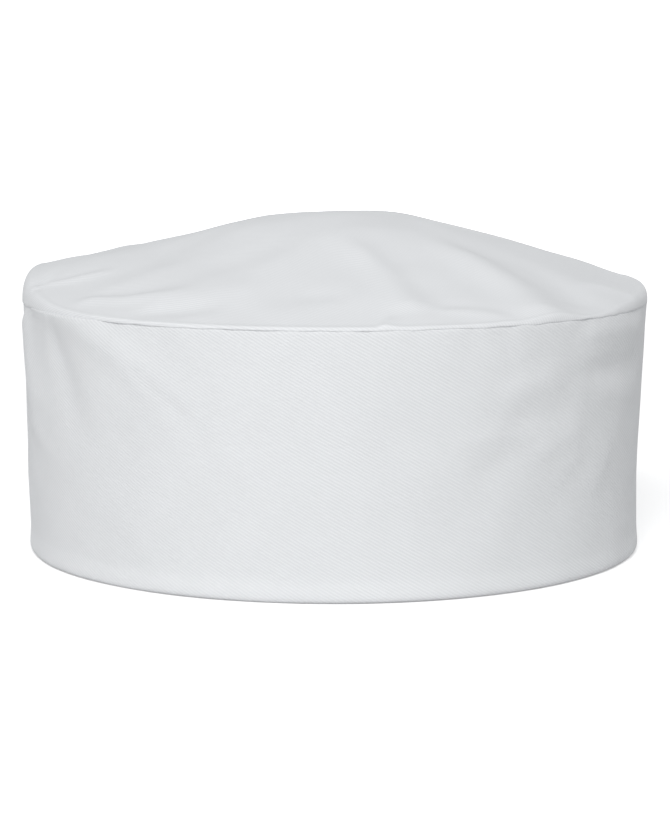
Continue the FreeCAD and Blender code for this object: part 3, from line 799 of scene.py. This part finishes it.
def make_crown():
    """Round panel: a tented top, a rolled shoulder and a lip tucked into the band's seam."""
    n = 141
    x, y = squircle(n)
    angle = direction(x, y)
    reach = seam_radius(angle) - shoulder_width(angle)
    x, y = x * reach, y * reach
    top = np.stack([x, y, crown_height(x, y)], axis=-1).reshape(-1, 3)
    rim = rim_of(np.arange(n * n).reshape(n, n))
    rim_x, rim_y, rim_height = top[rim].T
    angle = direction(rim_x, rim_y)
    seam, width = seam_radius(angle), shoulder_width(angle)
    bulge = 0.12 + 0.025 * shoulder_height(angle)
    bulge = bulge + ring_ripple(angle, (7.5, 11, 17), 0.1, 43, radius=seam)
    lip = BAND_HEIGHT + 0.12 + ring_ripple(angle, (9, 15, 26), 0.16, 44, radius=seam)

    bend = np.radians(90 - 90 * np.linspace(0, 1, 14)[1:])[:, None]
    roll_radius = seam - width + (width + bulge) * np.cos(bend) ** SHOULDER_SQUARENESS
    roll_height = lip + (rim_height - lip) * np.sin(bend) ** SHOULDER_SQUARENESS
    lip_in = np.array([0.06, 0.25, 0.7, 1.4])[:, None]
    lip_drop = np.array([0.12, 0.22, 0.26, 0.26])[:, None]
    radius = np.concatenate([roll_radius, seam + bulge - lip_in])
    height = np.concatenate([roll_height, lip - lip_drop])
    steps = np.hypot(
        np.diff(roll_radius, axis=0, prepend=[seam - width]),
        np.diff(roll_height, axis=0, prepend=[rim_height]),
    )
    steps = np.concatenate([steps, np.full((len(lip_in), len(rim)), 0.4)])
    flat_radius = np.hypot(rim_x, rim_y) + np.cumsum(steps, axis=0)

    rings = np.concatenate([[rim], n * n + np.arange(radius.size).reshape(radius.shape)])
    faces = [grid_faces(n, n).reshape(-1, 4)]
    faces += [ring_faces(before, after) for before, after in zip(rings, rings[1:])]
    points = np.concatenate([top, at(radius, angle, height).reshape(-1, 3)])
    plan = np.concatenate([top * (1, 1, 0), at(flat_radius, angle, 0).reshape(-1, 3)])
    piece = make_piece("crown_cloth", points, np.concatenate(faces), plan, np.zeros(len(points)))
    dress(piece, crown_twill, "white_twill", "crown_panel")


# ---- sweatband and label
def make_sweatband():
    """Soft inner band with its overlocked upper edge and a row of stitches near the hem."""
    low, high = heights_of("sweatband")
    r = ring_radius("sweatband", low + 2, high, min)
    half_gap = math.degrees(math.asin(SWEAT_END_X / r))
    section = np.array(
        [(r + 0.95, low + 0.35), (r + 0.6, low + 0.05), (r + 0.25, low + 0.12),
         (r + 0.06, low + 0.5)]
        + [(r, z) for z in np.linspace(low + 1.2, high - 1.0, 34)]
        + [(r + 0.08, high - 0.4), (r + 0.3, high - 0.08), (r + 0.65, high - 0.05),
           (r + 1.0, high - 0.3)]
    )
    radius, height = np.hsplit(section, 2)
    start, span = BACK + half_gap, 360 - 2 * half_gap
    length = math.radians(span) * r

    def angle_at(arc):
        return start + arc / length * span

    fine = np.array([0, 0.15, 0.4])
    arc = np.concatenate([fine, np.linspace(0.9, length - 0.9, 420), length - fine[::-1]])
    angle = angle_at(arc)[None, :]
    body = smooth((height - low) / 5) * smooth((high - height) / 5)
    crinkle = ring_ripple(angle, (12, 19, 33), 1.0, 51, radius=r, height=height, lean=(1, 0.6))
    soft = 0.08 * np.abs(crinkle) * body
    quilt = 0.22 * hump(height - (low + 2.0), 0.6) + 0.12 * hump(height - (high - 3.4), 0.7)
    tuck = 0.8 * hump(np.minimum(arc, length - arc)[None, :], 0.35)
    points = at(radius + soft + quilt + tuck, angle, height)
    piece = cloth_grid("sweatband_cloth", points, arc[None, :], height)
    dress(piece, sweat_terry, "sweatband_cotton", "sweatband")

    thread = Thread()
    row_angle = angle_at(np.linspace(1.0, length - 1.0, 700))
    thread.row(at(r + 0.2, row_angle, low + 2.0), 2.9, 52, inside=True)
    sew(thread, "sweatband_stitches", "sweatband_stitching")

    loops = Thread(radius=0.13)
    rng = np.random.default_rng(53)
    # share of a loop's lean, then how far it lies out from the band's face and up from its top
    share, out, up = np.array([
        (0.0, 0.35, -3.5), (0.02, -0.12, -3.1), (0.3, -0.14, -2.0),
        (0.75, -0.12, -0.6), (0.95, 0.15, 0.08), (1.0, 0.75, 0.02),
    ]).T
    for spot in np.arange(1.2, length - 1.2, 1.55):
        lean = 0.75 + rng.uniform(-0.08, 0.08)
        here = math.radians(angle_at(spot))
        path = at(r + out, angle_at(spot + lean * share), high + up)
        loops.run(path, (math.sin(here), -math.cos(here), 0.2))
    chain_angle = angle_at(np.linspace(1.2, length - 1.2, 700))
    chain = at(r + 0.02, chain_angle, high - 3.45)
    loops.row(chain, 1.55, 54, inside=True, gap=0.1, rise=0.14)
    sew(loops, "sweatband_overlock_thread", "sweatband_overlock")


def make_label():
    """Blank satin label, sewn along its upper edge; its free edge stands off a little."""
    width = 25
    bottom, top = heights_of("care_label")
    start, stop = angles_of("care_label")
    angle = np.linspace(start, stop, 46)[None, :]
    height = np.linspace(top, bottom, 50)[:, None]
    depth = FACING_DEPTH + 0.32
    free = smooth((top - 5 - height) / (top - bottom - 5))
    across = (angle - start) / (stop - start)
    curl = free * (0.7 + 0.35 * np.cos(across * math.tau)) + 0.5 * free**3
    edge = np.minimum(np.minimum(across, 1 - across) * width, top - height)
    piece = slab(
        "care_label_cloth", at(cone(height) - depth - curl, angle, height),
        edge_roll(edge + 0.05, 0.4, 0.12), across * width, height,
    )
    dress(piece, label_satin, "label_satin", "care_label")
    thread = Thread(radius=0.12)
    row_height = top - 1.6
    row = at(cone(row_height) - depth - 0.12, np.linspace(start + 1, stop - 1, 60), row_height)
    thread.row(row, 2.2, 55, inside=True)
    sew(thread, "care_label_stitches", "care_label_stitching")


# ---- arch
def on_back(x, z, depth):
    """Point of the back wall over a place in the arch's plane, at a depth below the face."""
    plain = cone(z)
    angle = direction(x, np.sqrt(np.maximum(plain**2 - x**2, 1)))
    outer = 1 - smooth((depth - 0.2) / 1.2)
    radius = plain - depth + outer * (side_offset(angle, z) + band_relief(angle, z))
    return np.stack([x, np.sqrt(radius**2 - x**2), z], axis=-1)


def make_binding():
    """Tape folded over the arch's edge, and its stitches on both faces.

    Its section is a row of (distance from the arch's edge, depth behind the band's face).
    """
    inner = FACING_DEPTH
    section = np.array([
        (8.0, 0.02), (8.06, -0.2), (7.98, -0.42), (7.7, -0.58), (7.2, -0.62), (6.8, -0.56),
        (6.4, -0.5), (6.0, -0.56), (5.4, -0.64), (4.5, -0.68), (3.4, -0.69), (2.3, -0.68),
        (1.4, -0.64), (0.7, -0.52), (0.25, -0.25), (0.04, 0.15), (0.0, 0.7), (0.0, 1.4),
        (0.05, inner), (0.25, inner + 0.35), (0.7, inner + 0.52), (1.4, inner + 0.6),
        (2.6, inner + 0.64), (4.0, inner + 0.64), (5.4, inner + 0.6), (6.4, inner + 0.5),
        (7.2, inner + 0.6), (7.8, inner + 0.5), (8.0, inner + 0.3), (8.0, inner + 0.02),
    ])
    w, depth = np.hsplit(section, 2)
    legs = np.linspace(heights_of("arch_binding")[0], ARCH_SPRING, 15)[:-1]
    turn = np.radians(np.linspace(180, 0, round(math.pi * ARCH_HALF / 0.7)))
    straight = np.ones(len(legs))
    nx = np.concatenate([-straight, np.cos(turn), straight])
    nz = np.concatenate([0 * straight, np.sin(turn), 0 * straight])
    x = ARCH_HALF * nx
    z = np.concatenate([legs, ARCH_SPRING + ARCH_HALF * np.sin(turn), legs[::-1]])
    travel = lengths_along(np.stack([x, z], axis=1))[None, :]
    swell = ripple(travel, w * 0.6, (4.4, 6.2, 9.0), 0.09, 61) * smooth(w / 2.5)
    dimple = 0.06 * np.cos(travel * math.tau / 2.6) * hump(w - BINDING_STITCH, 0.9)
    away = np.where(depth < inner / 2, -1.0, 1.0) * smooth(np.abs(depth - inner / 2) - 0.9)
    width = w + ripple(travel, 0 * w, (13, 21), 0.12, 62) * smooth(w / 4)
    points = on_back(
        x + nx * width, np.maximum(z + nz * width, 0.3), depth + away * (swell + dimple)
    )
    worn_edge = 0.5 * hump(depth - inner / 2, 1.2)
    piece = cloth_grid(
        "arch_tape", points, travel, lengths_along(section)[:, None], whitening=worn_edge
    )
    dress(piece, tape_weave, "binding_tape", "arch_binding")

    thread = Thread()
    row_x, row_z = x + nx * BINDING_STITCH, z + nz * BINDING_STITCH
    thread.row(on_back(row_x, row_z, -0.5), 2.6, 63)
    thread.row(on_back(row_x, row_z, inner + 0.5), 2.6, 64, inside=True)
    sew(thread, "arch_tape_stitches", "arch_binding_stitching")


def make_bartack(side):
    """Close zigzag over two bars, at one foot of the arch."""
    node = f"{side}_bartack"
    heights = np.array(heights_of(node))
    start, stop = angles_of(node)
    bars = Thread(radius=0.15)
    rng = np.random.default_rng(65)
    for i, spot in enumerate(np.arange(start + 0.15, stop - 0.1, 0.19)):
        lean = 0.08 * (1 if i % 2 else -1) + rng.uniform(-0.02, 0.02)
        x = cone(heights) * np.cos(np.radians([spot - lean, spot + lean]))
        ends = on_back(x, heights, -0.68)
        bars.stitch(*ends, outward_of(ends.sum(axis=0)), rise=0.16, sink=0.25)
    for z in (heights[0] + 0.6, heights[0] + 1.4):
        line = at(cone(z), np.linspace(start, stop, 8), z)
        bars.run(on_back(line[:, 0], line[:, 2], -0.74), (0, 0, 1), radius=0.1)
    sew(bars, f"{side}_bartack_thread", node)


# ---- strap
def strap_radius(angle, height):
    """Radius of the strap's middle: the CAD's over the arch, and down on the band at its root."""
    down = smooth((angle - ROOT_NEAR) / SETTLE_ANGLE)
    on_band = face_radius(angle, height) + 0.5
    bow = 0.25 * hump(angle - BACK, 14) + 0.05 * np.sin(angle * 0.5)
    return STRAP_MIDDLE + bow * (1 - down) + (on_band - STRAP_MIDDLE) * down


def strap_cloth(name, stop, round_end):
    """One length of the strap, from the middle of the arch to an angle."""
    length = abs(stop - BACK) * STRAP_DEGREE
    fine = np.array([0, 0.12, 0.35, 0.7, 1.2, 1.8, 2.6, 3.5, 4.6, 5.8])
    arc = np.concatenate([np.arange(0, length - 6.8, 1.0), length - fine[::-1]])[:, None]
    angle = BACK + (stop - BACK) * arc / length
    from_end = length - arc
    half_width = (STRAP_HIGH - STRAP_LOW) / 2
    if round_end:
        short = STRAP_CORNER - np.clip(from_end, 0, STRAP_CORNER)
        reach = half_width - STRAP_CORNER + np.sqrt(STRAP_CORNER**2 - short**2)
    else:
        reach = half_width - 0.25 + 0.25 * smooth(from_end)
    near_edge = [0.91, 0.955, 0.985, 1]
    share = np.concatenate([
        -np.array(near_edge[::-1]), np.linspace(-0.84, 0.84, 25), near_edge
    ])[None, :]
    reach = reach + ripple(arc, 0 * share, (23, 37), 0.1, 71) * np.sign(share)
    height = (STRAP_HIGH + STRAP_LOW) / 2 + reach * share
    from_edge = reach * (1 - np.abs(share))
    radius = strap_radius(angle, height) + ripple(arc, height, (19, 31), 0.08, 72)
    ridge = 0.07 * hump(from_edge - 2.2, 1.4)
    half = edge_roll(np.minimum(from_edge, from_end) + 0.03, 0.7, STRAP_HALF) + ridge
    worn_edge = 0.5 * hump(from_edge, 0.9)
    return slab(
        name, at(radius, angle, height), half, angle * STRAP_DEGREE, height, worn_edge,
        goes_on=True,
    )


def beside_fold(angle):
    """Points 3 mm from a fold line of the strap, on its root's and its tip's side, in metres."""
    turned = math.radians(angle)
    towards_tip = np.array([math.sin(turned), -math.cos(turned), 0]) * 3.0
    middle = at(STRAP_OUT, angle, (STRAP_LOW + STRAP_HIGH) / 2)
    return (middle - towards_tip) * M, (middle + towards_tip) * M


def make_strap():
    """The strap in two lengths that meet in the middle of the arch, one holding its root and one
    its tip.
    """
    bridge_tip_end, bridge_root_end = angles_of("strap_bridge")
    near = strap_cloth("strap_near_root", ROOT_FAR, False)
    dress(near, strap_twill, "white_twill", "strap_root", "strap_bridge", body=None)
    start, end = beside_fold((ROOT_NEAR + bridge_root_end) / 2)
    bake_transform(near)
    far = strap_cloth("strap_near_tip", TIP_FAR, True)
    dress(far, strap_twill, "white_twill", "strap_tip", body=None)
    start, end = beside_fold((TIP_NEAR + bridge_tip_end) / 2)
    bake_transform(far)

    def outer(angle, height):
        return strap_radius(angle, height) + STRAP_HALF + 0.02

    thread = Thread()
    start, stop = angles_of("strap_root_stitching")
    heights = heights_of("strap_root_stitching")
    thread.rectangle(outer, heights, (start + 0.6, stop), 81, crossed=True)
    sew(thread, "strap_root_stitches", "strap_root_stitching")
    thread = Thread()
    node = "strap_tip_stitching"
    thread.rectangle(outer, heights_of(node), angles_of(node), 91)
    sew(thread, "strap_tip_stitches", node, body="strap_tip")


# ---- hook and loop tape
def tape_cloth(name, node, material, slot, radius_at, half, body="cap"):
    """Woven ground of a strip of tape over its CAD node."""
    low, high = heights_of(node)
    start, stop = angles_of(node)
    angle = np.linspace(start, stop, 60)[:, None]
    height = np.linspace(low, high, 31)[None, :]
    length = (stop - start) * STRAP_DEGREE
    edge = np.minimum(
        np.minimum(angle - start, stop - angle) * STRAP_DEGREE,
        np.minimum(height - low, high - height),
    )
    piece = slab(
        name, at(radius_at(angle, height), angle, height), edge_roll(edge + 0.02, 0.5, half),
        angle * STRAP_DEGREE, height,
    )
    dress(piece, material, slot, node, body=body)
    return low, high, start, length


def make_hook_tape():
    """Hook tape under the strap's tip: rows of hooks that lean to one side and the other."""
    low, high, start, length = tape_cloth(
        "hook_tape_cloth", "hook_patch", hook_nylon, "hook_tape",
        lambda angle, height: STRAP_IN - 0.2, 0.13, body="strap_tip",
    )
    hooks = Thread(radius=0.085, sides=4)
    shift = np.array([0.0, 0.0, 0.1, 0.26, 0.36])
    drop = np.array([0.3, 0.48, 0.6, 0.62, 0.54])
    for row, z in enumerate(np.arange(low + 1.3, high - 1.2, 1.25)):
        lean = 1 if row % 2 else -1
        for spot in np.arange(1.2 + 0.3 * (row % 2), length - 1.1, 1.15):
            angle = start + (spot + lean * shift) / STRAP_DEGREE
            hooks.run(at(STRAP_IN - drop, angle, z), (0, 0, 1))
    dress(hooks.piece("hook_tape_hooks"), hook_nylon, "hook_tape", body="strap_tip")


def make_loop_tape():
    """Loop tape on the band: a pile of small arches, and the stitches round the tape."""
    def ground(angle, height):
        return face_radius(angle, height) + 0.24

    low, high, start, length = tape_cloth(
        "loop_tape_cloth", "loop_patch", loop_nylon, "loop_tape", ground, 0.18
    )
    pile = Thread(radius=0.055, sides=3)
    rng = np.random.default_rng(95)
    # ranges of a loop's height and place on the tape, its direction, how tall and how wide
    ranges = (
        (low + 0.9, high - 0.9), (0.9, length - 0.9), (0, math.tau), (0.14, 0.3), (0.2, 0.42),
    )
    z, spot, turn, tall, wide = np.array([
        [rng.uniform(*span) for span in ranges] for _ in range(2600)
    ]).T
    angle = start + spot / STRAP_DEGREE
    foot = ground(angle, z) + 0.15
    swing = np.radians([0, 45, 90, 135, 180])
    for i in range(len(z)):
        shift = wide[i] * np.cos(swing)
        east, north = math.cos(turn[i]), math.sin(turn[i])
        radius = foot[i] + tall[i] * np.sin(swing)
        path = at(radius, angle[i] + shift * east / STRAP_DEGREE, z[i] + shift * north)
        pile.run(path, (north, east, 0.5))
    dress(pile.piece("loop_tape_pile"), loop_nylon, "loop_tape")
    thread = Thread()
    thread.rectangle(
        lambda angle, height: ground(angle, height) + 0.2, (low + 1.0, high - 1.0),
        angles_of("loop_patch_stitching"), 97,
    )
    sew(thread, "loop_tape_stitches", "loop_patch_stitching")


# ---- build
make_band()
make_lining()
make_seam_tape()
make_crown()
make_sweatband()
make_label()
make_binding()
for side in ("left", "right"):
    make_bartack(side)
make_strap()
make_hook_tape()
make_loop_tape()


# ---- studio, in metres
def plain_material(name, colour, emission):
    material = bpy.data.materials.new(name)
    material.use_nodes = True
    set_inputs(material.node_tree.nodes["Principled BSDF"], {
        "Base Color": (*colour, 1), "Roughness": 0.9,
        "Emission Color": (1, 1, 1, 1), "Emission Strength": emission,
    })
    return material


def make_floor():
    """A wide pale disc just below the hem."""
    rim = at(14.0, np.linspace(0, 360, 96, endpoint=False), -0.0001)
    mesh = bpy.data.meshes.new("studio_floor")
    mesh.from_pydata(rim.tolist(), [], [list(range(len(rim)))])
    floor = new_object("studio_floor", mesh)
    floor.data.materials.append(plain_material("floor_white", (0.75, 0.75, 0.75), 0.0))
    return floor


def make_glow():
    """A sheet of light over the floor that only the camera sees: it whitens the floor.

    It is faint inside the cap, half as strong as it gets outside, and full further off.
    """
    under_hem, far = HEM_RADIUS * M, np.array([0.3, 0.5, 0.7, 0.9, 1.1, 1.3, 1.6, 2.5, 14])
    reach = np.concatenate([[0], under_hem + np.array([-0.003, -0.002, -0.001, 0, 0.001]), far])
    outside = smooth((reach - under_hem + 0.003) / 0.004)
    strength = 0.03 + 0.47 * outside + 0.5 * smooth((reach - 0.45) / 1.1)
    turn = np.linspace(0, 360, 65)[:, None]
    # the per-point attribute holds the strength of this painted light over the floor
    sheet = cloth_grid("studio_glow", at(reach, turn, -0.00005) / M, reach, turn, whitening=strength)
    material = bpy.data.materials.new("glow")
    material.use_nodes = True
    tree = material.node_tree
    tree.nodes.clear()
    level, light, clear, both, out = (
        tree.nodes.new(f"ShaderNode{kind}")
        for kind in ("Attribute", "Emission", "BsdfTransparent", "AddShader", "OutputMaterial")
    )
    level.attribute_name = "whitening"
    tree.links.new(level.outputs["Fac"], light.inputs["Strength"])
    tree.links.new(light.outputs[0], both.inputs[0])
    tree.links.new(clear.outputs[0], both.inputs[1])
    tree.links.new(both.outputs[0], out.inputs[0])
    sheet.data.materials.append(material)
    return sheet


floor = make_floor()
glow = make_glow()
bpy.ops.mesh.primitive_uv_sphere_add(segments=48, ring_count=24, radius=13.0)
backdrop = bpy.context.object
backdrop.name = "studio_backdrop"
backdrop.data.materials.append(plain_material("backdrop_white", (0.0, 0.0, 0.0), 1.05))
for item in (glow, backdrop):
    item.visible_diffuse = item.visible_glossy = item.visible_transmission = False
    item.visible_shadow = False

world = bpy.data.worlds.new("studio")
bpy.context.scene.world = world
world.use_nodes = True
set_inputs(world.node_tree.nodes["Background"], {
    "Color": (0.97, 0.985, 1.0, 1), "Strength": 0.46,
})


def soft_light(name, place, size, power):
    """A rectangular light aimed at the middle of the cap."""
    light = bpy.data.lights.new(name, "AREA")
    light.shape = "RECTANGLE"
    light.size, light.size_y = size
    light.energy = power
    lamp = new_object(name, light)
    lamp.location = place
    aim = Vector((0, 0, 0.05)) - Vector(place)
    lamp.rotation_euler = aim.to_track_quat("-Z", "Y").to_euler()


soft_light("key", (-0.3, -1.66, 1.41), (0.7, 0.7), 26)
soft_light("back_fill", (0.5, 1.9, 0.16), (1.0, 0.3), 7)

camera_data = bpy.data.cameras.new("camera")
camera_data.lens = 112.2
camera = new_object("camera", camera_data)
camera.location = (0.00055, -0.8134, 0.1575)
camera.rotation_euler = (math.radians(90 - 8.009), 0, 0)
bpy.context.scene.camera = camera
bpy.context.scene.view_settings.view_transform = "Standard"
